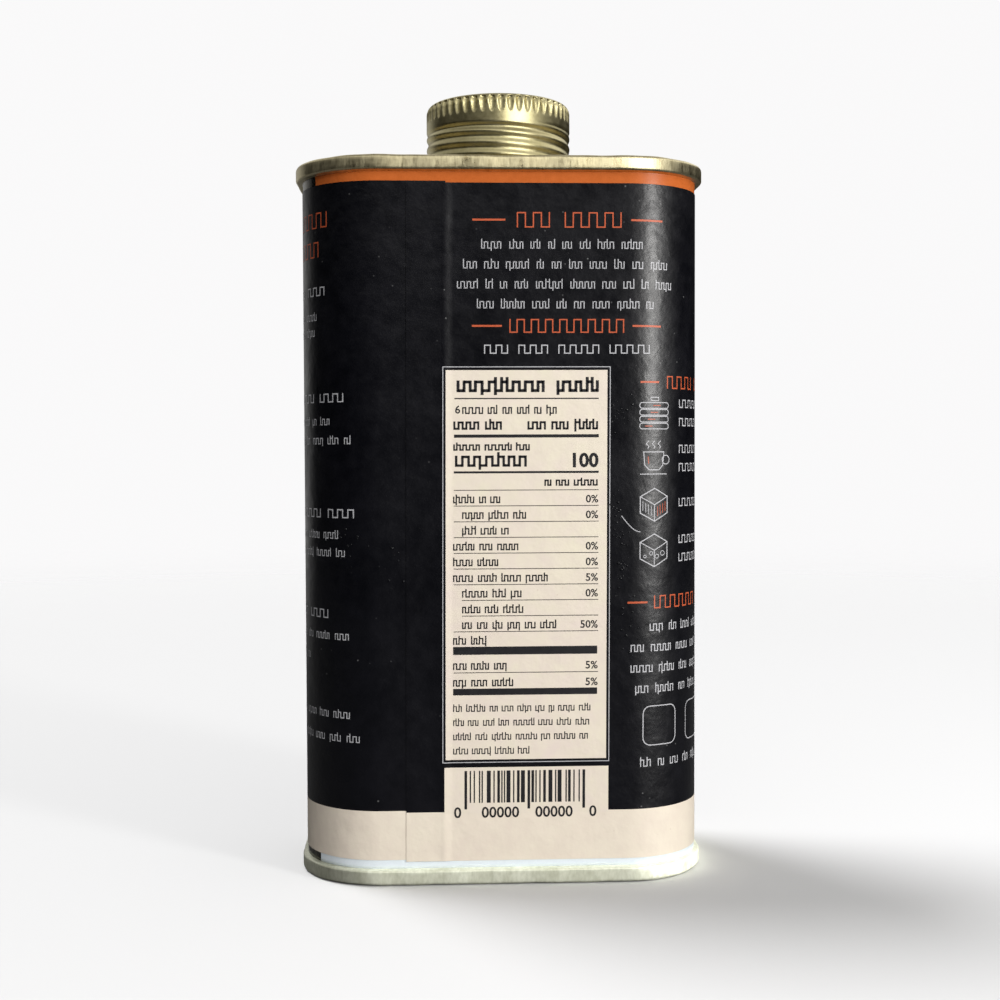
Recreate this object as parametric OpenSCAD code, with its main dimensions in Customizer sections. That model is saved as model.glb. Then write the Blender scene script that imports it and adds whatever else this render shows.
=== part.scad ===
// Oblong tin for pouring syrup: a flat-sided can with round corners, a rolled seam at each end,
// a screw cap on a short neck and a paper label wrapped round the wall.
// Millimetres, +Z up, floor at z = 0, broad front towards -Y.

/* [Can wall] */
// Width of the metal wall across the broad front, mm
body_w = 68.1; // [56:0.1:82]
// Depth of the metal wall from front to back, mm
body_d = 36; // [32:0.5:46]
// Height from the floor to the top of the upper seam, mm
can_h = 121.3; // [90:0.1:160]
// Radius of the four upright corners, mm
corner_r = 13.6; // [9:0.1:15]

/* [Seams and end panels] */
// How far each rolled seam stands out from the wall, mm
seam_out = 0.95; // [0.7:0.05:1.3]
// How far each rolled seam reaches in from the wall, mm
seam_in = 0.45; // [0.4:0.05:0.8]
// Height of each rolled seam, mm
seam_h = 2.6; // [2.3:0.1:3.1]
// Depth of each end panel below the edge of its seam, mm
panel_sink = 3.3; // [3.2:0.1:4.5]
// Thickness of the tinplate, mm
plate_t = 0.25; // [0.2:0.01:0.35]
// Height of the raised middle of each end panel, mm
panel_step = 0.6; // [0.3:0.1:1]
// Width of the flat margin round the raised middle, mm
panel_edge = 3.2; // [2.4:0.1:4]

/* [Neck and screw cap] */
// Outer diameter of the screw cap, mm
cap_d = 25.3; // [20:0.1:30]
// Height of the screw cap, mm
cap_h = 13.3; // [12:0.1:16]
// Gap between the top panel and the lower edge of the cap, mm
cap_lift = 1.1; // [0.8:0.1:3]
// Number of grip flutes round the cap
cap_flutes = 51; // [30:1:60]
// Length of each grip flute, mm
flute_len = 3.1; // [2:0.1:3.6]
// Depth of each grip flute at its upper end, mm
flute_depth = 0.32; // [0.2:0.02:0.4]
// Depth of the rolled grooves in the skirt of the cap, mm
groove_depth = 0.4; // [0.2:0.05:0.6]
// Distance between the rolled grooves, mm
groove_pitch = 1.8; // [1.5:0.1:2]
// How far the neck lies inside the outer face of the cap, mm
neck_in = 1.95; // [1.6:0.05:2.6]

/* [Label] */
// Thickness of the label, mm
label_t = 0.12; // [0.08:0.01:0.2]
// Height of the lower edge of the label above the floor, mm
label_low = 3.95; // [3.6:0.05:8]
// Distance of the upper edge of the label below the top of the can, mm
label_drop = 4.3; // [3.6:0.1:8]
// Distance from the left corner's start to the outer edge of the label's lap, mm
lap_inset = 4.15; // [1:0.05:8]
// Width over which the two ends of the label lie on each other, mm
lap_w = 6.5; // [3:0.1:8]

/* [Hidden] */
$fn = 96;
seam_roll_r = 0.5;
seam_edge_r = 0.35;
panel_fillet_r = 0.5;
panel_foot = seam_in + panel_fillet_r + 0.6;
panel_lap = 0.3;
end_depth = panel_sink + plate_t;
middle_inset = seam_in + panel_edge;
top_panel_z = can_h - panel_sink + panel_step;
cap_z = top_panel_z + cap_lift;
cap_r = cap_d / 2;
neck_r = cap_r - neck_in;
lap_x = corner_r - body_w / 2 + lap_inset;
cap_top = cap_z + cap_h;
cap_shoulder_r = 0.8;
flute_r = 0.62;
flute_foot = 0.04;
first_groove_drop = 5.5;
groove_count = 3;
groove_steps = 8;
skirt_in = 0.2;
collar_h = 0.5;
collar_out = 1.1;
lap_drop = 0.25;
slack = 1;

function arc(cx, cy, r, a, b, n) =
    [for (i = [0 : n]) [cx + r * cos(a + (b - a) * i / n), cy + r * sin(a + (b - a) * i / n)]];

// Radius of the cap at a given drop below its top, down through the rolled grooves
function groove_radius(drop) =
    cap_r - groove_depth * (0.5 + 0.5 * cos(360 * (drop - first_groove_drop) / groove_pitch));

module round_rect(w, d, r) {
    square([w - 2 * r, d], center = true);
    square([w, d - 2 * r], center = true);
    for (sx = [-1, 1], sy = [-1, 1])
        translate([sx * (w / 2 - r), sy * (d / 2 - r)])
            circle(r = r);
}

// Outline of the can wall moved in by a distance
module wall_outline(inset) {
    round_rect(body_w - 2 * inset, body_d - 2 * inset, corner_r - inset);
}

// Section of a rolled seam and the foot of its end panel: x is outward from the wall,
// y is the distance in from the edge of the seam
module seam_section() {
    polygon(concat(
        [[0, seam_h]],
        arc(seam_out - seam_edge_r, seam_h - seam_edge_r, seam_edge_r, 90, 0, 4),
        arc(seam_out - seam_roll_r, seam_roll_r, seam_roll_r, 0, -90, 6),
        arc(seam_roll_r - seam_in, seam_roll_r, seam_roll_r, -90, -180, 6),
        arc(-seam_in - panel_fillet_r, panel_sink - panel_fillet_r, panel_fillet_r, 0, 90, 4),
        [[-panel_foot, panel_sink], [-panel_foot, end_depth], [-plate_t, end_depth], [-plate_t, seam_h]]
    ));
}

// One rolled seam that runs once round the can
module seam_ring() {
    run_x = body_w - 2 * corner_r;
    run_y = body_d - 2 * corner_r;
    for (side = [0, 1])
        rotate([0, 0, 180 * side]) {
            translate([body_w / 2, run_y / 2, 0])
                rotate([90, 0, 0])
                    linear_extrude(height = run_y)
                        seam_section();
            translate([-run_x / 2, body_d / 2, 0])
                rotate([0, 0, 90])
                    rotate([90, 0, 0])
                        linear_extrude(height = run_x)
                            seam_section();
            translate([run_x / 2, run_y / 2, 0])
                rotate_extrude(angle = 90)
                    translate([corner_r, 0])
                        seam_section();
            translate([-run_x / 2, run_y / 2, 0])
                rotate([0, 0, 90])
                    rotate_extrude(angle = 90)
                        translate([corner_r, 0])
                            seam_section();
        }
}

// An end of the can with its seam edge at z = 0, seen from outside
module can_end() {
    seam_ring();
    translate([0, 0, panel_sink])
        linear_extrude(height = plate_t)
            wall_outline(panel_foot - panel_lap);
    translate([0, 0, panel_sink - panel_step])
        linear_extrude(height = panel_step + plate_t)
            wall_outline(middle_inset);
}

// The wall and what it holds, as one solid between the two ends
module can_wall() {
    color([0.78, 0.42, 0.24])
        difference() {
            translate([0, 0, seam_h])
                linear_extrude(height = can_h - 2 * seam_h)
                    wall_outline(0);
            linear_extrude(height = end_depth)
                wall_outline(plate_t);
            translate([0, 0, can_h - end_depth])
                linear_extrude(height = end_depth)
                    wall_outline(plate_t);
        }
}

module bottom_end() {
    color([0.62, 0.62, 0.5])
        can_end();
}

module top_end() {
    color([0.72, 0.68, 0.5])
        translate([0, 0, can_h])
            mirror([0, 0, 1])
                can_end();
}

// The neck and the rolled collar that holds it in the top panel
module neck() {
    color([0.7, 0.66, 0.46])
        translate([0, 0, top_panel_z]) {
            cylinder(r = neck_r, h = cap_lift);
            cylinder(r = neck_r + collar_out, h = collar_h);
        }
}

// The flutes lean out, so that each narrows towards its lower end
module grip_flutes() {
    lean = atan((flute_depth - flute_foot) / flute_len);
    for (i = [0 : cap_flutes - 1])
        rotate([0, 0, 360 * i / cap_flutes])
            translate([cap_r + flute_r - flute_foot, 0, cap_top - flute_len])
                rotate([0, -lean, 0])
                    cylinder(r = flute_r, h = flute_len + slack);
}

module screw_cap() {
    groove_start = first_groove_drop - groove_pitch / 2;
    groove_run = groove_count * groove_pitch;
    steps = groove_count * groove_steps;
    color([0.74, 0.68, 0.42])
        difference() {
            rotate_extrude()
                translate([0, cap_top])
                    polygon(concat(
                        [[0, 0]],
                        arc(cap_r - cap_shoulder_r, -cap_shoulder_r, cap_shoulder_r, 90, 0, 6),
                        [for (i = [0 : steps])
                            let (drop = groove_start + groove_run * i / steps)
                            [groove_radius(drop), -drop]],
                        [[cap_r - skirt_in, -groove_start - groove_run - skirt_in],
                         [cap_r - skirt_in, -cap_h],
                         [0, -cap_h]]
                    ));
            grip_flutes();
        }
}

// The label goes once round the wall, and its ends lie on each other on the front
module label() {
    label_h = can_h - label_drop - label_low;
    color([0.07, 0.07, 0.09]) {
        difference() {
            translate([0, 0, label_low])
                linear_extrude(height = label_h)
                    wall_outline(-label_t);
            translate([0, 0, label_low - slack])
                linear_extrude(height = label_h + 2 * slack)
                    wall_outline(0);
        }
        translate([lap_x, -body_d / 2 - 2 * label_t, label_low])
            cube([lap_w, label_t, label_h - lap_drop]);
    }
}

can_wall();
top_end();
bottom_end();
neck();
screw_cap();
label();
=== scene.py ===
import math
import random

import bpy
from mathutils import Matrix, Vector


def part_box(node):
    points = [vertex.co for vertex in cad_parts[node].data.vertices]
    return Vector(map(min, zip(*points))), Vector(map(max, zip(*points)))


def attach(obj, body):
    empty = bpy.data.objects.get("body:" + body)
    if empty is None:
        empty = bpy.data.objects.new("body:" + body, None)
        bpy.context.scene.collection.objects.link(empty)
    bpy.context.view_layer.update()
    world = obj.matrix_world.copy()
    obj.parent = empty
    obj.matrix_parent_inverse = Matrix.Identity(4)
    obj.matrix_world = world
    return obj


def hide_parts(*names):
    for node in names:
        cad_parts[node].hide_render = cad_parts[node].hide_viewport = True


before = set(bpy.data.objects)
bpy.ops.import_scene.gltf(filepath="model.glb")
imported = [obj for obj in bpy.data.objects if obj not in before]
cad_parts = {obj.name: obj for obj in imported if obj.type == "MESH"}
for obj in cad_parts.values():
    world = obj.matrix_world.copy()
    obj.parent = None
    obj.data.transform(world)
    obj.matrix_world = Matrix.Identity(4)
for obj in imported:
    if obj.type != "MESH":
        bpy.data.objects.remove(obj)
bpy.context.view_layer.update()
MM = 0.001


# ---- Can wall ----------------------------------------------------------------
# One strip of tinplate bent to a flat oval and welded up one narrow side. It is printed orange at the top,
# in an orange painted a little dark for the shade under the upper seam, and white at the foot; along the
# weld the plate is bare, painted near black with light vertical streaks: painted shade and painted
# reflection.
wall_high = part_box("can_wall")[1]
half_w, half_d = wall_high.x / MM, wall_high.y / MM
corner_r = 13.6
flat_w, flat_d = half_w - corner_r, half_d - corner_r
bend = corner_r * math.pi / 2
girth = 4 * flat_w + 4 * bend + 4 * flat_d
top_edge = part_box("top_end")[1].z / MM
wall_step_z, wall_step_out = 118.2, 0.1
weld_s, weld_margin, weld_half, weld_up = -46.2, 13.3, 0.4, 0.06
print_change_z, plate_thick = 60.0, 0.2


def along_wall(s, out):
    """The spot at length s round the wall, rightward from the middle of the front, standing out by out."""
    s = (s + girth / 2) % girth - girth / 2
    side, s = (1 if s >= 0 else -1), abs(s)
    r = corner_r + out
    if s < flat_w:
        return side * s, -half_d - out
    s -= flat_w
    if s < bend:
        return side * (flat_w + r * math.sin(s / corner_r)), -flat_d - r * math.cos(s / corner_r)
    s -= bend
    if s < 2 * flat_d:
        return side * (half_w + out), s - flat_d
    s -= 2 * flat_d
    if s < bend:
        return side * (flat_w + r * math.cos(s / corner_r)), flat_d + r * math.sin(s / corner_r)
    return side * (flat_w - (s - bend)), half_d + out


def round_stations(flat_step=2.0, bend_steps=24):
    """Lengths once round the wall: even steps on the flats, closer ones round the corners."""
    runs = [(flat_w, 0), (bend, bend_steps), (2 * flat_d, 0), (bend, bend_steps), (flat_w, 0)]
    half, at = [0.0], 0.0
    for length, steps in runs:
        steps = steps or max(2, round(length / flat_step))
        half += [at + length * (i + 1) / steps for i in range(steps)]
        at += length
    return [-s for s in reversed(half[1:])] + half


def bent_sheet(name, columns, rows, place):
    """A flat sheet cut in columns and rows, each corner then taken to place(column, row), in mm."""
    bpy.ops.object.select_all(action="DESELECT")
    nx, ny = len(columns) - 1, len(rows) - 1
    bpy.ops.mesh.primitive_grid_add(x_subdivisions=nx, y_subdivisions=ny, size=1)
    sheet = bpy.context.object
    sheet.name = sheet.data.name = name
    spread = sheet.data.attributes.new("sheet", "FLOAT_VECTOR", "POINT")
    for v in sheet.data.vertices:
        c, r = columns[round((v.co.x + 0.5) * nx)], rows[round((v.co.y + 0.5) * ny)]
        v.co = Vector(place(c, r)) * MM
        spread.data[v.index].vector = (c, r if isinstance(r, float) else r[1], 0)
    return sheet


def close_round(piece, smooth_deg=35):
    """Joins the first and last column, turns the faces outward and shades the piece."""
    bpy.ops.object.select_all(action="DESELECT")
    piece.select_set(True)
    bpy.context.view_layer.objects.active = piece
    bpy.ops.object.mode_set(mode="EDIT")
    bpy.ops.mesh.select_all(action="SELECT")
    bpy.ops.mesh.remove_doubles(threshold=2e-6)
    bpy.ops.mesh.normals_make_consistent(inside=False)
    bpy.ops.object.mode_set(mode="OBJECT")
    bpy.ops.object.shade_smooth_by_angle(angle=math.radians(smooth_deg))


def new_material(name):
    """A material with only a Principled shader, its nodes and its links."""
    made = bpy.data.materials.new(name)
    made.use_nodes = True
    nodes, links = made.node_tree.nodes, made.node_tree.links
    return made, nodes, links, nodes["Principled BSDF"]


def new_group(name, inputs, outputs):
    """An empty shader node group with named float or colour sockets."""
    group = bpy.data.node_groups.new(name, "ShaderNodeTree")
    for label, kind, value in inputs:
        socket = group.interface.new_socket(name=label, in_out="INPUT", socket_type=kind)
        if value is not None:
            socket.default_value = value
    for label, kind in outputs:
        group.interface.new_socket(name=label, in_out="OUTPUT", socket_type=kind)
    return group, group.nodes.new("NodeGroupInput"), group.nodes.new("NodeGroupOutput")


def mottle_group():
    """Cloudy unevenness at two scales, and a fine bump that goes with it."""
    group, given, gives = new_group(
        "Mottle",
        [("Scale", "NodeSocketFloat", 400.0), ("Stretch", "NodeSocketFloat", 1.0),
         ("Low", "NodeSocketFloat", 0.0), ("High", "NodeSocketFloat", 1.0),
         ("Bump", "NodeSocketFloat", 0.1)],
        [("Value", "NodeSocketFloat"), ("Normal", "NodeSocketVector")])
    n, l = group.nodes, group.links
    where = n.new("ShaderNodeTexCoord")
    split, join = n.new("ShaderNodeSeparateXYZ"), n.new("ShaderNodeCombineXYZ")
    squeeze = n.new("ShaderNodeMath")
    squeeze.operation = "MULTIPLY"
    cloud, fine = n.new("ShaderNodeTexNoise"), n.new("ShaderNodeTexNoise")
    fine_scale = n.new("ShaderNodeMath")
    fine_scale.operation = "MULTIPLY"
    fine_scale.inputs[1].default_value = 5.0
    blend = n.new("ShaderNodeMix")
    blend.inputs["Factor"].default_value = 0.45
    fit = n.new("ShaderNodeMapRange")
    fit.inputs["From Min"].default_value, fit.inputs["From Max"].default_value = 0.3, 0.7
    bump = n.new("ShaderNodeBump")
    bump.inputs["Distance"].default_value = 0.00005
    cloud.inputs["Detail"].default_value = 4.0
    fine.inputs["Detail"].default_value = 2.0
    l.new(where.outputs["Object"], split.inputs[0])
    l.new(split.outputs["Z"], squeeze.inputs[0])
    l.new(given.outputs["Stretch"], squeeze.inputs[1])
    l.new(split.outputs["X"], join.inputs["X"])
    l.new(split.outputs["Y"], join.inputs["Y"])
    l.new(squeeze.outputs[0], join.inputs["Z"])
    for tex in (cloud, fine):
        l.new(join.outputs[0], tex.inputs["Vector"])
    l.new(given.outputs["Scale"], cloud.inputs["Scale"])
    l.new(given.outputs["Scale"], fine_scale.inputs[0])
    l.new(fine_scale.outputs[0], fine.inputs["Scale"])
    l.new(cloud.outputs["Fac"], blend.inputs["A"])
    l.new(fine.outputs["Fac"], blend.inputs["B"])
    l.new(blend.outputs["Result"], fit.inputs["Value"])
    l.new(given.outputs["Low"], fit.inputs["To Min"])
    l.new(given.outputs["High"], fit.inputs["To Max"])
    l.new(fit.outputs["Result"], gives.inputs["Value"])
    l.new(blend.outputs["Result"], bump.inputs["Height"])
    l.new(given.outputs["Bump"], bump.inputs["Strength"])
    l.new(bump.outputs["Normal"], gives.inputs["Normal"])
    return group


mottle = mottle_group()


def add_mottle(nodes, **values):
    """Places the mottle group with its own values."""
    node = nodes.new("ShaderNodeGroup")
    node.node_tree = mottle
    for label, value in values.items():
        node.inputs[label].default_value = value
    return node


def two_tone(nodes, links, factor, dark, light):
    """A colour that runs from dark to light with a value."""
    mix = nodes.new("ShaderNodeMix")
    mix.data_type = "RGBA"
    mix.inputs["A"].default_value, mix.inputs["B"].default_value = dark, light
    links.new(factor, mix.inputs["Factor"])
    return mix.outputs["Result"]


def coated_plate(name, dark, light, rough_low, rough_high, metallic, scale, stretch, bump):
    """Tinplate under print, lacquer or nothing: uneven in colour, gloss and surface."""
    made, nodes, links, shader = new_material(name)
    uneven = add_mottle(nodes, Scale=scale, Stretch=stretch, Bump=bump)
    links.new(two_tone(nodes, links, uneven.outputs["Value"], dark, light), shader.inputs["Base Color"])
    gloss = nodes.new("ShaderNodeMapRange")
    gloss.inputs["To Min"].default_value, gloss.inputs["To Max"].default_value = rough_low, rough_high
    links.new(uneven.outputs["Value"], gloss.inputs["Value"])
    links.new(gloss.outputs["Result"], shader.inputs["Roughness"])
    links.new(uneven.outputs["Normal"], shader.inputs["Normal"])
    shader.inputs["Metallic"].default_value = metallic
    return made


# the orange is partly the print's colour and partly painted shade: it is darkened for the shade of the upper
# seam over the band
orange_coat_and_shade = coated_plate("orange_coat_and_shade", (0.50, 0.115, 0.022, 1), (0.60, 0.145, 0.03, 1),
                           rough_low=0.3, rough_high=0.42, metallic=0, scale=900, stretch=1, bump=0.25)
orange_coat_and_shade.node_tree.nodes["Principled BSDF"].inputs["Specular IOR Level"].default_value = 0.22
white_coat = coated_plate("white_coat", (0.73, 0.80, 0.86, 1), (0.80, 0.87, 0.92, 1),
                          rough_low=0.3, rough_high=0.4, metallic=0, scale=900, stretch=1, bump=0.2)
# the bare plate is painted near black with light vertical streaks: painted shade and painted reflection, not
# the colour of bright tin
bare_plate_painted_shade = coated_plate("bare_plate_painted_shade", (0.012, 0.012, 0.011, 1), (0.24, 0.23, 0.20, 1),
                          rough_low=0.16, rough_high=0.34, metallic=1, scale=600, stretch=0.02, bump=0.6)

weld_columns = [weld_s + off for off in (-weld_margin, -0.5, -0.35, 0.35, 0.5, weld_margin)]
wall_columns = sorted(round_stations() + weld_columns)
wall_rows = [2.7, 3.3, 3.6, 4.5, 30.0, print_change_z, 90.0, 112.0, wall_step_z, wall_step_z + 0.25, 118.9]


def wall_place(s, z):
    """The plate steps out a hair under the upper seam, and the weld stands a little proud."""
    out = wall_step_out if z > wall_step_z + 0.1 else 0.0
    if abs(s - weld_s) < weld_half:
        out += weld_up
    x, y = along_wall(s, out)
    return x, y, z


wall = bent_sheet("can_wall_plate", wall_columns, wall_rows, wall_place)
for coat in (orange_coat_and_shade, white_coat, bare_plate_painted_shade):
    wall.data.materials.append(coat)
spread = wall.data.attributes["sheet"].data
for face in wall.data.polygons:
    s = sum(spread[v].vector.x for v in face.vertices) / len(face.vertices)
    z = sum(spread[v].vector.y for v in face.vertices) / len(face.vertices)
    face.material_index = 2 if abs(s - weld_s) < weld_margin else (0 if z > print_change_z else 1)
close_round(wall)
plate = wall.modifiers.new("plate", "SOLIDIFY")
plate.thickness, plate.offset = plate_thick * MM, -1
bpy.ops.object.modifier_apply(modifier="plate")
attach(wall, "root")
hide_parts("can_wall")


# ---- Ends and rolled seams ---------------------------------------------------
# Each end is a pressed tinplate panel under pale gold lacquer, rolled together with
# the wall to a double seam. The seams are a little wavy and knocked, as on a used tin.
seam_out, seam_in, seam_h = 0.95, 0.45, 2.6
panel_sink, panel_step, panel_edge = 3.3, 0.6, 3.2
hook_r, roll_r, fold_r, bead_r = 0.45, 0.6, 0.5, 0.3
end_smooth_deg = 60


def arc(out, depth, r, start, end, steps):
    """Points of a round stretch of a section about (out, depth), from one angle to another."""
    turns = [math.radians(start + (end - start) * i / steps) for i in range(steps + 1)]
    return [(out + r * math.cos(a), depth + r * math.sin(a)) for a in turns]


bead_out = -seam_in - panel_edge
seam_section = (
    [(0.0, seam_h + 0.15)]
    + arc(seam_out - hook_r, seam_h - hook_r, hook_r, 90, 0, 5)
    + [(seam_out, 1.6), (seam_out, 1.1)]
    + arc(seam_out - roll_r, roll_r, roll_r, 0, -90, 6)
    + arc(roll_r - seam_in, roll_r, roll_r, -90, -180, 6)
    + [(-seam_in, 1.2), (-seam_in, 2.4)]
    + arc(-seam_in - fold_r, panel_sink - fold_r, fold_r, 0, 90, 4)
    + [(-2.0, panel_sink)]
    + arc(bead_out + bead_r, panel_sink - bead_r, bead_r, 90, 180, 3)
    + arc(bead_out - bead_r, panel_sink - bead_r, bead_r, -30, -90, 2)
    + [(-6.0, panel_sink - panel_step)])


def knock(s, out, depth):
    """How far a seam is pressed in, and its edge pulled back, at length s: long waves and small knocks.
    The waves don't repeat over one turn, so the first and last column part by up to 0.03 mm."""
    fade = max(0.0, min(1.0, (out + 0.45) / 0.45)) * max(0.0, min(1.0, (2.7 - depth) / 0.5))
    inward = 0.04 + 0.04 * math.sin(s * 0.31 + 1.0) + 0.025 * math.sin(s * 0.83)
    down = 0.05 + 0.035 * math.sin(s * 0.42 + 0.4) + 0.025 * math.sin(s * 1.1 + 2.0)
    return fade * inward, fade * down * max(0.0, 1 - depth / 1.5)


def end_piece(name, edge_z, inward, phase, flare):
    """One end: the section taken round the wall, with its raised middle as one face.
    The edge that lies on the wall is left open."""
    def place(s, point):
        out, depth = point
        press, drop = knock(s + phase, out, depth)
        x, y = along_wall(s, out + flare * max(0.0, out) - max(0.0, press))
        return x, y, edge_z + inward * (depth + max(0.0, drop))
    piece = bent_sheet(name, round_stations(1.0, 32), seam_section, place)
    close_round(piece, end_smooth_deg)
    bpy.ops.object.mode_set(mode="EDIT")
    bpy.ops.mesh.select_mode(type="EDGE")
    bpy.ops.mesh.select_all(action="DESELECT")
    bpy.ops.mesh.select_non_manifold(
        use_wire=False, use_multi_face=False, use_non_contiguous=False, use_verts=False)
    bpy.ops.object.mode_set(mode="OBJECT")
    middle_z = (edge_z + inward * (panel_sink - panel_step)) * MM
    for edge in piece.data.edges:
        ends = [piece.data.vertices[i].co.z for i in edge.vertices]
        edge.select = edge.select and all(abs(z - middle_z) < 1e-5 for z in ends)
    bpy.ops.object.mode_set(mode="EDIT")
    bpy.ops.mesh.edge_face_add()
    bpy.ops.mesh.select_all(action="SELECT")
    bpy.ops.mesh.normals_make_consistent(inside=False)
    bpy.ops.object.mode_set(mode="OBJECT")
    bpy.ops.object.shade_smooth_by_angle(angle=math.radians(end_smooth_deg))
    return piece


top_lacquer = coated_plate("top_lacquer", (0.52, 0.44, 0.25, 1), (0.88, 0.79, 0.51, 1),
                           rough_low=0.24, rough_high=0.48, metallic=1, scale=600, stretch=0.25, bump=0.5)
foot_lacquer = coated_plate("foot_lacquer", (0.62, 0.63, 0.47, 1), (0.93, 0.94, 0.78, 1),
                            rough_low=0.30, rough_high=0.46, metallic=0.5, scale=380, stretch=0.5, bump=0.3)

rim_pieces = []
for name, edge_z, inward, phase, flare, node, lacquer in (
        ("top_end_seam", top_edge, -1, 17.0, 0.3, "top_end", top_lacquer),
        ("bottom_end_seam", 0.0, 1, -17.0, 0.0, "bottom_end", foot_lacquer)):
    end = end_piece(name, edge_z, inward, phase, flare)
    end.data.materials.append(lacquer)
    rim_pieces.append(end)
    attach(end, "root")
    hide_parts(node)


# ---- Screw cap and neck ------------------------------------------------------
# A cap drawn from thin tinplate, gold lacquered and satin. A ring of short grip
# flutes is pressed in under its top edge, and the thread is rolled into the skirt.
cap_low, cap_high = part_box("screw_cap")
cap_r, cap_top, cap_foot = cap_high.x / MM, cap_high.z / MM, cap_low.z / MM
flutes, flute_low, flute_deep = 51, 3.3, 0.5
flute_wide = math.tau * cap_r / flutes * 0.37
shoulder_in, shoulder_drop = 1.0, 1.4
thread_lead, thread_step, thread_first, thread_deep = 3.6, 1.85, 5.6, 0.33
thread_starts, thread_shallows, thread_ends = (4.3, 5.4), (6.0, 8.0), (9.9, 10.7)
waist, waist_in = (10.3, 11.0), 0.26
curl_start, curl_drop, curl_r, curl_out = 12.4, 12.85, 0.45, 0.24
cap_smooth_deg = 65


def ease(value, low, high):
    """Runs smoothly from 0 at low to 1 at high."""
    x = max(0.0, min(1.0, (value - low) / (high - low)))
    return x * x * (3 - 2 * x)


def cap_place(turn, drop):
    """Skirt of the cap at an angle from the front and a drop below its top edge."""
    r = cap_r
    if drop < shoulder_drop:
        r -= shoulder_in * (1 - math.sqrt(max(0.0, 1 - (1 - drop / shoulder_drop) ** 2)))
    pitch = math.tau / flutes
    off = abs((turn + pitch / 2) % pitch - pitch / 2) * cap_r
    run = max(0.0, min(1.0, (flute_low - drop) / (flute_low - 0.5)))
    wide = flute_wide * math.sqrt(min(1.0, 1.7 * run)) + 1e-6
    if off < wide:
        r -= (flute_deep * (0.25 + 0.75 * run) * ease(drop, 0.3, 0.62) * ease(run, 0, 0.25)
              * (1 - (off / wide) ** 2))
    wind = turn if turn <= math.pi else turn - math.tau
    phase = math.tau * (drop - thread_first - thread_lead * wind / math.tau) / thread_step
    deep = thread_deep * (1 - 0.35 * ease(drop, *thread_shallows))
    r -= deep * (0.5 + 0.5 * math.cos(phase)) * ease(drop, *thread_starts) * (1 - ease(drop, *thread_ends))
    r -= waist_in * ease(drop, *waist)
    if drop > curl_start:
        r += curl_out * math.sqrt(max(0.0, 1 - ((drop - curl_drop) / curl_r) ** 2))
    return r * math.sin(turn), -r * math.cos(turn), cap_top - drop


cap_columns = [math.tau * i / (flutes * 10) for i in range(flutes * 10 + 1)]
cap_rows = ([shoulder_drop * (1 - math.cos(math.radians(7.5 * i))) for i in range(12)]
            + [shoulder_drop + 0.18 * i for i in range(11)]
            + [3.25 + 0.1 * i for i in range(1, 91)]
            + [curl_start, 12.5, 12.65, curl_drop, 13.05, 13.2, 13.3])
cap = bent_sheet("screw_cap_shell", cap_columns, sorted(set(round(r, 3) for r in cap_rows)), cap_place)
close_round(cap, cap_smooth_deg)

# the top: a flat rim, a step down and a shallow dish
bpy.ops.object.mode_set(mode="EDIT")
bpy.ops.mesh.select_mode(type="EDGE")
bpy.ops.mesh.select_all(action="DESELECT")
bpy.ops.object.mode_set(mode="OBJECT")
for edge in cap.data.edges:
    edge.select = all(abs(cap.data.vertices[i].co.z - cap_top * MM) < 1e-7 for i in edge.vertices)
bpy.ops.object.mode_set(mode="EDIT")
bpy.ops.mesh.edge_face_add()
for thick, deep in ((0.5, 0.0), (0.35, -0.12), (0.25, -0.06), (6.0, 0.0)):
    bpy.ops.mesh.inset(thickness=thick * MM, depth=deep * MM)
bpy.ops.mesh.select_all(action="DESELECT")
bpy.ops.object.mode_set(mode="OBJECT")

# the lower edge, closed underneath
for edge in cap.data.edges:
    edge.select = all(abs(cap.data.vertices[i].co.z - cap_foot * MM) < 1e-6 for i in edge.vertices)
bpy.ops.object.mode_set(mode="EDIT")
bpy.ops.mesh.edge_face_add()
bpy.ops.mesh.inset(thickness=1.2 * MM)
bpy.ops.mesh.select_all(action="SELECT")
bpy.ops.mesh.normals_make_consistent(inside=False)
bpy.ops.object.mode_set(mode="OBJECT")
bpy.ops.object.shade_smooth_by_angle(angle=math.radians(cap_smooth_deg))
cap_lacquer = coated_plate("cap_lacquer", (0.50, 0.44, 0.22, 1), (0.66, 0.59, 0.34, 1),
                           rough_low=0.28, rough_high=0.38, metallic=1, scale=400, stretch=1, bump=0.08)
cap.data.materials.append(cap_lacquer)
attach(cap, "root")
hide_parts("screw_cap")

# the neck stays as drawn, in the lacquer of the cap
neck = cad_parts["neck"]
for holder in neck.material_slots:
    holder.link = "OBJECT"
    holder.material = cap_lacquer


# ---- Label -------------------------------------------------------------------
# A paper label, printed black with a cream foot and satin varnished, wrapped once
# round the can. Its ends lap on the front, where the covered end shows as a ridge.
label_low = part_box("label")[0].z / MM
paper = 0.12
lap_edge, ridge, ridge_up = -16.3, -9.8, 0.05
black_foot, black_high = 12.2, 104.55
label_lean, lean_about = 0.005, 60
slip_down, slip_from, slip_over = 0.28, 50, 80


def sheet_lift(s):
    """How far the outer end of the label stands off, over the covered end and down its ridge."""
    if s < ridge - 0.25:
        return paper + ridge_up * math.exp(-((s - ridge + 0.25) / 0.5) ** 2)
    t = min(1.0, (s - ridge + 0.25) / 1.6)
    return (paper + ridge_up) * (1 - t) ** 2 * (1 + 2 * t)


def slip(s):
    """How far the label rides up towards its covered far end, as wound a little off level."""
    t = max(0.0, min(1.0, (s - slip_from) / slip_over))
    return slip_down * t * t * (3 - 2 * t)


def on_sheet(s, z, out):
    """A spot on the label's face: out is how far it stands off the face of the paper."""
    lean = label_lean * (z - lean_about)
    lift = sheet_lift(s) if lap_edge - 0.5 < s < 20 else 0.0
    x, y = along_wall(s + lean, paper + lift + out)
    return x, y, z


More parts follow.
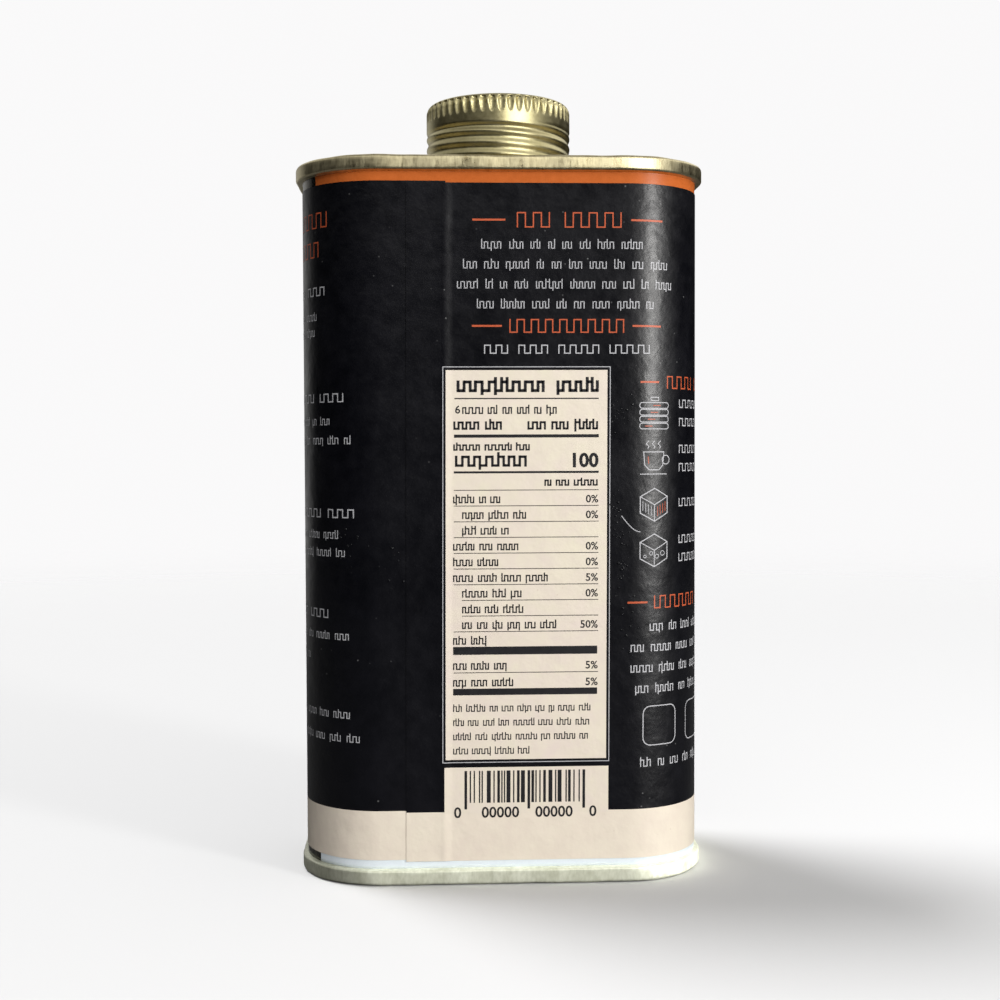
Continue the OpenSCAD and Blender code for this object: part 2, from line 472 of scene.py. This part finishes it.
label_columns = [lap_edge, lap_edge + 0.3]
label_columns += [ridge + 0.1 * i for i in range(-8, 20)]
label_columns += [s for s in round_stations() if s > lap_edge + 0.6 and not ridge - 0.9 < s < ridge + 2.1]
label_columns += [s + girth for s in round_stations()[1:] if s < ridge - 0.3] + [ridge + girth]
label_columns = sorted(label_columns)
label_rows = [label_low, 6.0, 9.0, black_foot] + [black_foot + black_high * i / 30 for i in range(1, 31)]


def label_place(s, z):
    """A spot on the paper itself, with the small slip of its winding."""
    x, y, z = on_sheet(s, z, 0.0)
    return x, y, z + slip(s)


label = bent_sheet("label_sheet", label_columns, label_rows, label_place)


def paper_material(name, dark, light, rough_low, rough_high, speck_light):
    """Varnished print: faint clouds in the colour, rubbed and fingered patches in the gloss, dust specks."""
    made, nodes, links, shader = new_material(name)
    cloud = add_mottle(nodes, Scale=90, Bump=0.12)
    grain = add_mottle(nodes, Scale=1500, Bump=0.5)
    where = nodes.new("ShaderNodeTexCoord")
    dust = nodes.new("ShaderNodeTexVoronoi")
    dust.inputs["Scale"].default_value = 420
    dot = nodes.new("ShaderNodeMapRange")
    dot.inputs["From Min"].default_value, dot.inputs["From Max"].default_value = 0.03, 0.075
    dot.inputs["To Min"].default_value, dot.inputs["To Max"].default_value = 1, 0
    patch = nodes.new("ShaderNodeTexNoise")
    patch.inputs["Scale"].default_value = 70
    some = nodes.new("ShaderNodeMapRange")
    some.inputs["From Min"].default_value, some.inputs["From Max"].default_value = 0.5, 0.62
    both = nodes.new("ShaderNodeMath")
    both.operation = "MULTIPLY"
    links.new(where.outputs["Object"], dust.inputs["Vector"])
    links.new(where.outputs["Object"], patch.inputs["Vector"])
    links.new(dust.outputs["Distance"], dot.inputs["Value"])
    links.new(patch.outputs["Fac"], some.inputs["Value"])
    links.new(dot.outputs["Result"], both.inputs[0])
    links.new(some.outputs["Result"], both.inputs[1])
    base = two_tone(nodes, links, cloud.outputs["Value"], dark, light)
    dusty = nodes.new("ShaderNodeMix")
    dusty.data_type = "RGBA"
    dusty.inputs["B"].default_value = speck_light
    links.new(base, dusty.inputs["A"])
    links.new(both.outputs[0], dusty.inputs["Factor"])
    links.new(dusty.outputs["Result"], shader.inputs["Base Color"])
    gloss = nodes.new("ShaderNodeMapRange")
    gloss.inputs["To Min"].default_value, gloss.inputs["To Max"].default_value = rough_low, rough_high
    links.new(cloud.outputs["Value"], gloss.inputs["Value"])
    links.new(gloss.outputs["Result"], shader.inputs["Roughness"])
    wave = nodes.new("ShaderNodeTexNoise")
    wave.inputs["Scale"].default_value, wave.inputs["Detail"].default_value = 260, 3.0
    swell = nodes.new("ShaderNodeBump")
    swell.inputs["Strength"].default_value, swell.inputs["Distance"].default_value = 0.45, 0.0004
    links.new(where.outputs["Object"], wave.inputs["Vector"])
    links.new(wave.outputs["Fac"], swell.inputs["Height"])
    links.new(grain.outputs["Normal"], swell.inputs["Normal"])
    links.new(swell.outputs["Normal"], shader.inputs["Normal"])
    shader.inputs["Specular IOR Level"].default_value = 0.45
    return made


black_print = paper_material("black_print", (0.0003, 0.0004, 0.0016, 1), (0.0022, 0.0022, 0.0045, 1),
                             rough_low=0.28, rough_high=0.42, speck_light=(0.12, 0.12, 0.12, 1))
cream_print = paper_material("cream_print", (0.77, 0.67, 0.57, 1), (0.83, 0.75, 0.62, 1),
                             rough_low=0.4, rough_high=0.5, speck_light=(0.7, 0.6, 0.5, 1))
label.data.materials.append(black_print)
label.data.materials.append(cream_print)
spread = label.data.attributes["sheet"].data
for face in label.data.polygons:
    z = sum(spread[v].vector.y for v in face.vertices) / len(face.vertices)
    face.material_index = 0 if z > black_foot else 1
bpy.ops.object.select_all(action="DESELECT")
label.select_set(True)
bpy.context.view_layer.objects.active = label
sheet_paper = label.modifiers.new("paper", "SOLIDIFY")
sheet_paper.thickness, sheet_paper.offset = paper * MM * 0.95, -1
bpy.ops.object.modifier_apply(modifier="paper")
bpy.ops.object.shade_smooth_by_angle(angle=math.radians(35))
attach(label, "root")
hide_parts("label")


# ---- Printed marks -----------------------------------------------------------
# Everything printed on the label is laid on it as a skin of ink: cream panels, rules,
# rows of small plain marks in place of words, plain stripes, and line drawings.
INK = 0.02


class Marks:
    """Flat shapes in label coordinates, gathered and then laid on the paper as one skin of ink."""

    def __init__(self, level):
        self.level, self.quads = level, []

    def bar(self, s0, z0, s1, z1):
        self.quads.append(((s0, z0), (s1, z0), (s1, z1), (s0, z1)))

    def line(self, points, width, closed=False):
        """A drawn line of even width with mitred corners."""
        n = len(points)
        rails = []
        for i, p in enumerate(points):
            a = points[i - 1] if i or closed else p
            b = points[(i + 1) % n] if i < n - 1 or closed else p
            ins = Vector((p[0] - a[0], p[1] - a[1]))
            outs = Vector((b[0] - p[0], b[1] - p[1]))
            ins = ins.normalized() if ins.length > 1e-9 else outs.normalized()
            outs = outs.normalized() if outs.length > 1e-9 else ins
            mid = (ins + outs).normalized() if (ins + outs).length > 1e-6 else outs
            across = Vector((-mid.y, mid.x))
            reach = width / 2 / max(0.4, across.dot(Vector((-outs.y, outs.x))))
            rails.append(((p[0] - across.x * reach, p[1] - across.y * reach),
                          (p[0] + across.x * reach, p[1] + across.y * reach)))
        for i in range(n if closed else n - 1):
            (a0, a1), (b0, b1) = rails[i], rails[(i + 1) % n]
            self.quads.append((a0, b0, b1, a1))

    def box(self, s0, z0, s1, z1, width):
        h = width / 2
        self.line([(s0 + h, z0 + h), (s1 - h, z0 + h), (s1 - h, z1 - h), (s0 + h, z1 - h)], width, True)

    def circle(self, s, z, r, width, steps=20, squash=1.0):
        self.line([(s + r * math.cos(math.tau * i / steps), z + squash * r * math.sin(math.tau * i / steps))
                   for i in range(steps)], width, True)

    def round_box(self, s0, z0, s1, z1, r, width):
        pts = []
        corners = ((s1 - r, z0 + r, -90), (s1 - r, z1 - r, 0), (s0 + r, z1 - r, 90), (s0 + r, z0 + r, 180))
        for cs, cz, a in corners:
            pts += [(cs + r * math.cos(math.radians(a + 15 * k)), cz + r * math.sin(math.radians(a + 15 * k)))
                    for k in range(7)]
        self.line(pts, width, True)

    def lay(self, name, material):
        """Cuts long shapes short enough to follow the paper and lays them on it."""
        verts, faces = [], []
        for quad in self.quads:
            (a, b, c, d) = quad
            long_way = max(abs(b[0] - a[0]), abs(c[0] - d[0]))
            near = min(p[0] for p in quad) < ridge + 2.0 and max(p[0] for p in quad) > ridge - 1.5
            cuts = max(1, math.ceil(long_way / (0.15 if near and long_way < 8 else 0.6)))
            for k in range(cuts):
                t0, t1 = k / cuts, (k + 1) / cuts
                low0 = (a[0] + (b[0] - a[0]) * t0, a[1] + (b[1] - a[1]) * t0)
                low1 = (a[0] + (b[0] - a[0]) * t1, a[1] + (b[1] - a[1]) * t1)
                up0 = (d[0] + (c[0] - d[0]) * t0, d[1] + (c[1] - d[1]) * t0)
                up1 = (d[0] + (c[0] - d[0]) * t1, d[1] + (c[1] - d[1]) * t1)
                start = len(verts)
                for s, z in (low0, low1, up1, up0):
                    verts.append(Vector(on_sheet(s, z, self.level)) * MM)
                faces.append((start, start + 1, start + 2, start + 3))
        mesh = bpy.data.meshes.new(name)
        mesh.from_pydata(verts, [], faces)
        piece = bpy.data.objects.new(name, mesh)
        bpy.context.collection.objects.link(piece)
        mesh.materials.append(material)
        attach(piece, "root")
        return piece


dice = random.Random(11)


def scribble(marks, s0, s1, foot, tall, stroke, pitch=0.42, word=6, gap=0.9):
    """A level scribble in place of a line of print: upright strokes joined by turns at head and foot."""
    s = s0
    while s < s1 - 2 * pitch:
        turns = max(3, round(word * dice.uniform(0.5, 1.5)))
        points, up = [], dice.random() < 0.5
        for k in range(turns):
            if s > s1:
                break
            head = foot + tall * (1.0 if dice.random() < 0.16 else 0.72)
            low = foot - (0.24 * tall if dice.random() < 0.05 else 0.0)
            points += [(s, low), (s, head)] if up else [(s, head), (s, low)]
            up = not up
            s += pitch * dice.uniform(0.85, 1.2)
        if len(points) > 3:
            for k in range(2, len(points), 2):
                level = foot + 0.72 * tall if points[k][1] > foot + 0.3 * tall else foot
                marks.bar(points[k - 1][0], level - stroke / 2, points[k][0], level + stroke / 2)
        for k in range(0, len(points) - 1, 2):
            at, (low, head) = points[k][0], sorted((points[k][1], points[k + 1][1]))
            marks.bar(at - stroke / 2, low - stroke / 2, at + stroke / 2, head + stroke / 2)
        s += gap * tall * 0.45


def tall_marks(marks, s0, s1, foot, tall, stroke, groups):
    """A taller, wider scribble in place of a heading, in the given groups of strokes."""
    step = (s1 - s0) / (sum(groups) + (len(groups) - 1) * 1.0 - 1)
    s = s0
    for group in groups:
        up = dice.random() < 0.5
        for k in range(group):
            marks.bar(s - stroke / 2, foot, s + stroke / 2, foot + tall)
            if k < group - 1:
                level = foot + tall - stroke if up else foot
                marks.bar(s + stroke / 2, level, s + step - stroke / 2, level + stroke)
            up = not up
            s += step
        s += step


def heading(marks, dash_a, words, dash_b, foot, tall, groups, stroke=0.21):
    """An orange heading between two level dashes."""
    mid = foot + tall / 2
    if dash_a:
        marks.bar(dash_a[0], mid - 0.16, dash_a[1], mid + 0.16)
    tall_marks(marks, words[0], words[1], foot, tall, stroke, groups)
    if dash_b:
        marks.bar(dash_b[0], mid - 0.16, dash_b[1], mid + 0.16)


cream_ink, black_ink, orange_ink, pale_ink = Marks(INK), Marks(2 * INK), Marks(INK), Marks(INK)

# facts panel and the stripes under it
cream_ink.bar(-9.75, 20.95, -8.2, 85.9)
cream_ink.bar(-8.2, 20.95, 17.15, 85.9)
cream_ink.bar(-9.95, 11.9, -8.2, 19.65)
cream_ink.bar(-8.2, 11.9, 17.55, 19.65)
frame_ink = Marks(INK)
frame_ink.box(-10.28, 20.42, 17.68, 86.5, 0.14)
small = dict(stroke=0.22, pitch=0.48)
bold = dict(stroke=0.34, pitch=0.62)
scribble(black_ink, -7.7, 6.9, 82.5, 2.0, stroke=0.5, pitch=0.98, word=40)
scribble(black_ink, 8.9, 16.0, 82.5, 2.0, stroke=0.5, pitch=0.94, word=40)
black_ink.bar(-8.3, 81.1, 15.7, 81.3)
scribble(black_ink, -6.9, 9.2, 78.75, 1.3, **small)
scribble(black_ink, -8.3, 1.4, 76.2, 1.45, **bold)
scribble(black_ink, 4.0, 15.7, 76.2, 1.45, **bold)
black_ink.bar(-8.35, 74.72, 15.75, 75.24)
scribble(black_ink, -8.35, 4.3, 72.7, 1.1, stroke=0.26, pitch=0.5)
scribble(black_ink, -8.0, 4.3, 70.1, 2.0, stroke=0.42, pitch=0.9, word=40)
black_ink.bar(-8.4, 68.8, 15.75, 69.15)
scribble(black_ink, 6.8, 15.55, 66.8, 1.1, stroke=0.26, pitch=0.5)
row_pitch, rule_above, first_row = 2.62, 2.05, 63.95
margin_left, margin_right, indent_step = -8.4, 15.75, 1.5
rows = ((0, 7.8, "0%"), (1, 10.6, "0%"), (1, 7.6, None), (0, 10.7, "0%"), (0, 8.6, "0%"), (0, 15.8, "5%"),
        (1, 10.1, "0%"), (1, 10.8, None), (1, 17.4, "50%"), (0, 6.7, None))
amounts = []
for k, (indent, length, amount) in enumerate(rows):
    foot, start = first_row - row_pitch * k, margin_left + indent_step * indent
    rule_start = -7.0 if k in (7, 8) else margin_left
    black_ink.bar(rule_start, foot + rule_above - 0.06, margin_right, foot + rule_above + 0.06)
    scribble(black_ink, start, start + length, foot, 1.25, **small)
    amounts.append((amount, foot))
black_ink.bar(margin_left, 35.49, margin_right, 35.61)
for length, foot in ((9.5, 36.15), (10.8, 33.35)):
    scribble(black_ink, margin_left, margin_left + length, foot, 1.25, **small)
    amounts.append(("5%", foot))
black_ink.bar(-8.5, 38.56, 15.6, 39.9)
black_ink.bar(-8.5, 31.78, 15.6, 32.88)
for k, s1 in enumerate((14.7, 14.5, 14.0, 4.3)):
    scribble(black_ink, margin_left, s1, 29.1 - 2.38 * k, 1.1, stroke=0.17, pitch=0.42)
stripe_unit, stripes_end, stripes_middle = 0.22, 13.69, 3.55
s = -6.6
while s < stripes_end - 0.2:
    wide = stripe_unit * dice.choice((1, 1, 1, 2, 2, 3))
    guard = s < -6.0 or s > 12.9 or abs(s - stripes_middle) < 0.5
    black_ink.bar(s, 12.6 if guard else 13.67, min(s + wide, stripes_end), 19.07)
    s += wide + stripe_unit * dice.choice((1, 1, 2, 2, 3))

# middle column
heading(orange_ink, (-5.35, 0.1), (2.1, 19.3), (21.0, 26.6), 109.4, 2.55, [5, 8])
heading(orange_ink, (-5.4, -0.45), (0.9, 19.8), (21.3, 26.4), 92.05, 2.3, [17])
prose = dict(stroke=0.16, pitch=0.5, gap=1.4)
for k, half in enumerate((14.2, 17.2, 18.2, 14.9)):
    scribble(pale_ink, 10.4 - half, 10.4 + half, 106.0 - 3.28 * k, 1.45, **prose)
tall_marks(pale_ink, -3.3, 24.2, 88.6, 1.5, 0.18, [5, 6, 8, 8])

# right column
heading(orange_ink, (22.7, 26.1), (27.8, 41.5), (43.0, 46.0), 82.85, 2.15, [7, 5])
heading(orange_ink, (20.65, 24.1), (25.4, 40.5), (42.0, 45.5), 45.95, 2.2, [11, 3])
icon_pitch, first_icon, icon_s = 7.65, 78.7, 25.3
for k, lines in enumerate(((42.0, 41.0), (41.5, 38.5), (41.5,), (41.5, 42.5))):
    for j, s1 in enumerate(lines):
        foot = first_icon - icon_pitch * k + (1.0 - 3.1 * j if len(lines) > 1 else -0.4)
        tall_marks(pale_ink, 30.75, s1, foot, 1.4, 0.2, [round((s1 - 30.75) / 0.85)])
for k, (s0, s1) in enumerate(((24.6, 44.0), (21.3, 46.0), (21.3, 47.0), (22.1, 46.0))):
    scribble(pale_ink, s0, s1, 42.3 - 3.47 * k, 1.45, stroke=0.18, pitch=0.52, gap=1.4)
scribble(pale_ink, 23.0, 45.0, 19.4, 1.45, stroke=0.18, pitch=0.52, gap=1.4)
for s0 in (23.4, 32.9, 42.4):
    pale_ink.round_box(s0, 22.9, s0 + 6.5, 29.5, 1.3, 0.17)
# a pile of flat cakes with a pat on top
for k in range(4):
    foot = first_icon - 2.6 + 1.15 * k
    pale_ink.round_box(icon_s - 2.7, foot, icon_s + 2.7, foot + 0.95, 0.4, 0.14)
    orange_ink.bar(icon_s - 1.8 + 0.5 * k, foot + 0.4, icon_s - 0.4 + 0.5 * k, foot + 0.54)
pale_ink.box(icon_s - 0.8, first_icon + 2.05, icon_s + 0.8, first_icon + 2.75, 0.13)
# a cup with steam on a saucer
cup = first_icon - icon_pitch
pale_ink.line([(icon_s - 2, cup + 1.2), (icon_s - 1.8, cup - 1), (icon_s - 1, cup - 1.8),
               (icon_s + 0.8, cup - 1.8), (icon_s + 1.6, cup - 1), (icon_s + 1.8, cup + 1.2)], 0.15, True)
pale_ink.circle(icon_s + 2.2, cup - 0.1, 0.75, 0.14, 14)
pale_ink.line([(icon_s - 2.6, cup - 2.5), (icon_s + 2.4, cup - 2.5)], 0.14)
orange_ink.line([(icon_s - 1.2, cup + 0.5), (icon_s - 1.1, cup - 0.8)], 0.12)
for k in range(3):
    steam = [(icon_s - 1.3 + 1.1 * k + 0.24 * math.sin(1.5 * j), cup + 1.8 + 0.25 * j) for j in range(6)]
    pale_ink.line(steam, 0.13)
# a box with hatched sides, and a pierced cube
for k in (2, 3):
    middle = first_icon - icon_pitch * k
    turns = [math.radians(90 + 60 * j) for j in range(6)]
    six = [(icon_s + 2.95 * math.cos(a), middle + 2.75 * math.sin(a)) for a in turns]
    pale_ink.line(six, 0.17, True)
    pale_ink.line([six[1], (icon_s, middle), six[5]], 0.14)
    pale_ink.line([(icon_s, middle), six[3]], 0.14)
    for j in range(4):
        s = icon_s - 2.1 + 0.5 * j
        if k == 2:
            pale_ink.line([(s, middle - 1.0 - 0.27 * j), (s, middle + 0.6 - 0.27 * j)], 0.1)
            orange_ink.line([(s + 2.7, middle - 1.9 + 0.27 * j), (s + 2.7, middle - 0.3 + 0.27 * j)], 0.1)
        else:
            pale_ink.circle(icon_s - 1.7 + 1.1 * j, middle - 1.0 + 0.5 * (j % 2), 0.24 + 0.05 * j, 0.11, 12)

# left column, running in from the side
heading(orange_ink, None, (-56.0, -30.3), None, 109.9, 2.6, [12, 8])
heading(orange_ink, None, (-54.0, -32.4), None, 105.05, 2.6, [10, 8])
for s1, z in ((-30.9, 98.6), (-27.0, 80.7), (-25.1, 61.4), (-30.3, 44.5)):
    tall_marks(pale_ink, s1 - 22.0, s1, z, 1.5, 0.2, [8, 7, 6])
for s1, z in ((-31.2, 94.6), (-32.3, 91.95), (-28.8, 77.0), (-24.5, 73.8), (-27.8, 58.0), (-25.0, 55.0),
              (-26.0, 41.05), (-34.0, 37.4), (-24.8, 27.9), (-23.3, 23.95)):
    scribble(pale_ink, s1 - 28.0, s1, z, 1.3, **prose)

# the broad face away from the facts panel: a drop between rules
far = girth / 2
turns = [math.tau * i / 48 for i in range(48)]
drop_outline = [(far + 7.5 * math.sin(a) * math.sin(a / 2) ** 1.2, 66 + 12.0 * math.cos(a)) for a in turns]
orange_ink.line(drop_outline, 0.5, True)
for z in (88.5, 36.5):
    orange_ink.bar(far - 17.0, z, far + 17.0, z + 0.4)
tall_marks(pale_ink, far - 15.0, far + 15.0, 93.0, 4.2, 0.42, [9, 9])
tall_marks(pale_ink, far - 12.0, far + 12.0, 28.5, 2.4, 0.26, [7, 9])

# a curved scratch beside the drawings
pale_ink.line([(19.6 + 0.36 * k, 61.6 - 2.7 * math.sin(0.5 * math.pi * k / 9)) for k in range(10)], 0.13)


def blisters(name, clusters, material):
    """Small low swellings under the varnish: (middle s, middle z, spread s, spread z, how many) each."""
    bpy.ops.object.select_all(action="DESELECT")
    made = []
    for middle_s, middle_z, wide, high, count in clusters:
        for k in range(count):
            s, z = dice.gauss(middle_s, wide), dice.gauss(middle_z, high)
            r = 0.1 + 0.16 * dice.random() ** 2
            bpy.ops.mesh.primitive_uv_sphere_add(segments=8, ring_count=6, radius=1)
            piece = bpy.context.object
            for v in piece.data.vertices:
                v.co = Vector(on_sheet(s + v.co.x * r, z + v.co.y * r, v.co.z * r * 0.42)) * MM
            made.append(piece)
    for piece in made:
        piece.select_set(True)
    bpy.context.view_layer.objects.active = made[0]
    bpy.ops.object.join()
    made[0].name = made[0].data.name = name
    bpy.ops.object.shade_smooth()
    made[0].data.materials.append(material)
    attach(made[0], "root")


cream_skin = paper_material("cream_ink", (0.77, 0.665, 0.595, 1), (0.80, 0.735, 0.585, 1),
                            rough_low=0.4, rough_high=0.5, speck_light=(0.7, 0.6, 0.5, 1))
ink_finish = dict(rough_low=0.42, rough_high=0.5, metallic=0, scale=900, stretch=1, bump=0.3)
black_skin = coated_plate("black_ink", (0.008, 0.008, 0.01, 1), (0.016, 0.015, 0.017, 1), **ink_finish)
orange_skin = coated_plate("orange_ink", (0.46, 0.082, 0.027, 1), (0.56, 0.105, 0.036, 1), **ink_finish)
pale_skin = coated_plate("pale_ink", (0.42, 0.42, 0.44, 1), (0.52, 0.52, 0.54, 1), **ink_finish)


def figures(name, entries, material):
    """Plain figures set flat on the front of the label: (text, right end, foot, height) each."""
    made = []
    size_for_height, heavy_above, heavy, fine = 1.37, 2, 0.045, 0.022
    for text, right, foot, tall in entries:
        bpy.ops.object.select_all(action="DESELECT")
        bpy.ops.object.text_add()
        piece = bpy.context.object
        piece.data.body, piece.data.size, piece.data.align_x = text, tall * size_for_height, "RIGHT"
        piece.data.resolution_u, piece.data.offset = 3, (heavy if tall > heavy_above else fine) * tall
        bpy.ops.object.convert(target="MESH")
        for v in piece.data.vertices:
            s = right + v.co.x + label_lean * (foot - lean_about)
            v.co = Vector((s, -half_d - paper - 2 * INK, foot + v.co.y)) * MM
        made.append(piece)
    for piece in made:
        piece.select_set(True)
    bpy.context.view_layer.objects.active = made[0]
    bpy.ops.object.join()
    made[0].name = made[0].data.name = name
    made[0].data.materials.clear()
    made[0].data.materials.append(material)
    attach(made[0], "root")


entries = [("100", 15.7, 69.85, 2.35), ("6", -7.3, 78.75, 1.35)]
entries += [(amount, 15.7, foot - 0.05, 1.3) for amount, foot in amounts if amount]
entries += [(noughts, right, 11.2, 1.85) for noughts, right in
            (("0", -7.1), ("00000", 2.6), ("00000", 11.6), ("0", 15.6))]
figures("print_figures", entries, black_skin)
clusters = [(18.8, 62.0, 0.5, 2.4, 26), (19.6, 52.0, 0.7, 5.0, 34), (19.2, 78.5, 1.2, 1.6, 22),
            (21.5, 42.5, 0.9, 2.5, 14), (-27.0, 57.0, 2.2, 1.4, 16), (-18.0, 54.0, 1.0, 2.5, 10)]
blisters("label_blisters", clusters, black_print)
cream_ink.lay("print_cream", cream_skin)
black_ink.lay("print_black", black_skin)
orange_ink.lay("print_orange", orange_skin)
pale_ink.lay("print_pale", pale_skin)
frame_ink.lay("print_hairline", pale_skin)


# ---- Floor, light and camera ---------------------------------------------------
# A wide pale floor under a soft sky: bright high up, on the right and behind, darker on the
# left. A tall lamp and a broad fill light the can, one lamp each lights the upper and the
# lower metal, and a high sun behind casts the shadow. Each lamp misses some pieces.
bpy.ops.object.select_all(action="DESELECT")
bpy.ops.mesh.primitive_circle_add(vertices=96, radius=1.5, fill_type="NGON", location=(0, 0, 0))
floor = bpy.context.object
floor.name = "floor"
floor_paint, nodes, links, shader = new_material("floor_paint")
shader.inputs["Roughness"].default_value = 1.0
shader.inputs["Specular IOR Level"].default_value = 0.0
shader.inputs["Emission Color"].default_value = (0.97, 0.965, 0.97, 1)
seen = nodes.new("ShaderNodeLightPath")
floor_dim, floor_bright = (0.07, 0.07, 0.07, 1), (0.62, 0.62, 0.625, 1)
floor_tone = two_tone(nodes, links, seen.outputs["Is Camera Ray"], floor_dim, floor_bright)
links.new(floor_tone, shader.inputs["Base Color"])
lift = nodes.new("ShaderNodeMath")
lift.operation = "MULTIPLY"
lift.inputs[1].default_value = 0.03
links.new(seen.outputs["Is Camera Ray"], lift.inputs[0])
links.new(lift.outputs[0], shader.inputs["Emission Strength"])
where, reach = nodes.new("ShaderNodeTexCoord"), nodes.new("ShaderNodeVectorMath")
reach.operation = "LENGTH"
fade = nodes.new("ShaderNodeMapRange")
fade.interpolation_type = "SMOOTHSTEP"
fade.inputs["From Min"].default_value, fade.inputs["From Max"].default_value = 0.16, 0.9
fade.inputs["To Min"].default_value, fade.inputs["To Max"].default_value = 1.0, 0.0
links.new(where.outputs["Object"], reach.inputs[0])
links.new(reach.outputs["Value"], fade.inputs["Value"])
links.new(fade.outputs["Result"], shader.inputs["Alpha"])
floor.data.materials.append(floor_paint)

world = bpy.context.scene.world or bpy.data.worlds.new("World")
bpy.context.scene.world = world
world.use_nodes = True
sky, wire = world.node_tree.nodes, world.node_tree.links
sky.clear()
where = sky.new("ShaderNodeTexCoord")
split = sky.new("ShaderNodeSeparateXYZ")
wire.new(where.outputs["Generated"], split.inputs[0])


def ramp(value, low, high, to_low, to_high):
    """Runs smoothly from to_low to to_high while value goes from low to high."""
    made = sky.new("ShaderNodeMapRange")
    made.interpolation_type = "SMOOTHSTEP"
    made.inputs["From Min"].default_value, made.inputs["From Max"].default_value = low, high
    made.inputs["To Min"].default_value, made.inputs["To Max"].default_value = to_low, to_high
    wire.new(value, made.inputs["Value"])
    return made.outputs["Result"]


def joined(first, second, how):
    """Two values of the sky taken together."""
    made = sky.new("ShaderNodeMath")
    made.operation = how
    wire.new(first, made.inputs[0])
    wire.new(second, made.inputs[1])
    return made.outputs[0]


facing = sky.new("ShaderNodeVectorMath")
facing.operation = "DOT_PRODUCT"
facing.inputs[1].default_value = (0.74, -0.67, 0.0)
wire.new(where.outputs["Generated"], facing.inputs[0])
from_right = ramp(facing.outputs["Value"], 0.76, 1.0, 0.006, 0.55)
window_foot = ramp(split.outputs["Z"], 0.27, 0.45, 0.0, 1.15)
window_head = ramp(split.outputs["Z"], 0.6, 0.88, 1.0, 0.3)
window = joined(window_foot, window_head, "MULTIPLY")
from_above = joined(window, ramp(split.outputs["X"], -1.0, 0.1, 0.3, 1.0), "MULTIPLY")
behind = sky.new("ShaderNodeVectorMath")
behind.operation = "DOT_PRODUCT"
behind.inputs[1].default_value = (-0.5, 0.86, 0.0)
wire.new(where.outputs["Generated"], behind.inputs[0])
from_behind = ramp(behind.outputs["Value"], 0.86, 1.0, 0.0, 0.55)
soft = sky.new("ShaderNodeBackground")
soft.inputs["Color"].default_value = (0.99, 0.985, 0.97, 1)
wire.new(joined(joined(from_right, from_above, "MAXIMUM"), from_behind, "MAXIMUM"), soft.inputs["Strength"])
plain = sky.new("ShaderNodeBackground")
plain.inputs["Color"].default_value = (0.955, 0.95, 0.953, 1)
seen = sky.new("ShaderNodeLightPath")
either = sky.new("ShaderNodeMixShader")
out = sky.new("ShaderNodeOutputWorld")
wire.new(seen.outputs["Is Camera Ray"], either.inputs["Fac"])
wire.new(soft.outputs[0], either.inputs[1])
wire.new(plain.outputs[0], either.inputs[2])
wire.new(either.outputs[0], out.inputs["Surface"])


def lamp(name, kind, place, aim, power, **sizes):
    """A lamp at a place, turned to its aim."""
    data = bpy.data.lights.new(name, kind)
    data.energy = power
    for key, value in sizes.items():
        setattr(data, key, value)
    made = bpy.data.objects.new(name, data)
    bpy.context.collection.objects.link(made)
    made.location = place
    made.rotation_euler = (Vector(aim) - Vector(place)).to_track_quat("-Z", "Y").to_euler()
    return made


key = lamp("key_softbox", "AREA", (0.37, -0.34, 0.14), (0.0, 0.0, 0.09), 1.5,
           shape="RECTANGLE", size=0.07, size_y=0.16)
# the sun falls on the floor alone
high = lamp("high_sun", "SUN", (-0.5, 0.34, 1.0), (0, 0, 0), 3.1, angle=math.radians(26))
floor_only = bpy.data.collections.new("floor_only")
floor_only.objects.link(floor)
high.light_linking.receiver_collection = floor_only
# the fill misses the floor and the lower seam, and isn't mirrored
front = lamp("front_fill", "AREA", (0.2, -0.9, 0.36), (0.0, 0.0, 0.05), 4.0,
             shape="RECTANGLE", size=0.5, size_y=0.5)
front.visible_glossy = False
fill_skips = bpy.data.collections.new("fill_skips")
for shaded in (floor, rim_pieces[1]):
    fill_skips.objects.link(shaded)
for held in fill_skips.collection_objects:
    held.light_linking.link_state = "EXCLUDE"
front.light_linking.receiver_collection = fill_skips
# one lamp for the upper seam and the cap, one for the lower seam
for name, place, power, lit in (("rim_light", (0.44, -0.8, 0.28), 3.9, [rim_pieces[0], cap]),
                                ("foot_light", (0.86, -0.34, 0.2), 30.0, [rim_pieces[1]])):
    rim_lamp = lamp(name, "AREA", place, (0.0, 0.0, 0.06), power, shape="RECTANGLE", size=0.6, size_y=0.5)
    one_rim = bpy.data.collections.new(name + "_only")
    for piece in lit:
        one_rim.objects.link(piece)
    rim_lamp.light_linking.receiver_collection = one_rim
# the key misses both seams and the cap
key_skips = bpy.data.collections.new("key_skips")
for piece in rim_pieces + [cap]:
    key_skips.objects.link(piece)
for held in key_skips.collection_objects:
    held.light_linking.link_state = "EXCLUDE"
key.light_linking.receiver_collection = key_skips
key.data.color = (1.0, 0.985, 0.96)

camera = bpy.data.objects.new("camera", bpy.data.cameras.new("camera"))
bpy.context.collection.objects.link(camera)
camera.data.lens, camera.data.sensor_width = 51.22, 36
camera.data.clip_start, camera.data.clip_end = 0.01, 50
camera.location = (-0.0111, -0.25427, 0.0725)
camera.rotation_euler = (math.radians(88.027), math.radians(0.2116), math.radians(-2.53))
bpy.context.scene.camera = camera
bpy.context.scene.view_settings.view_transform = "Standard"
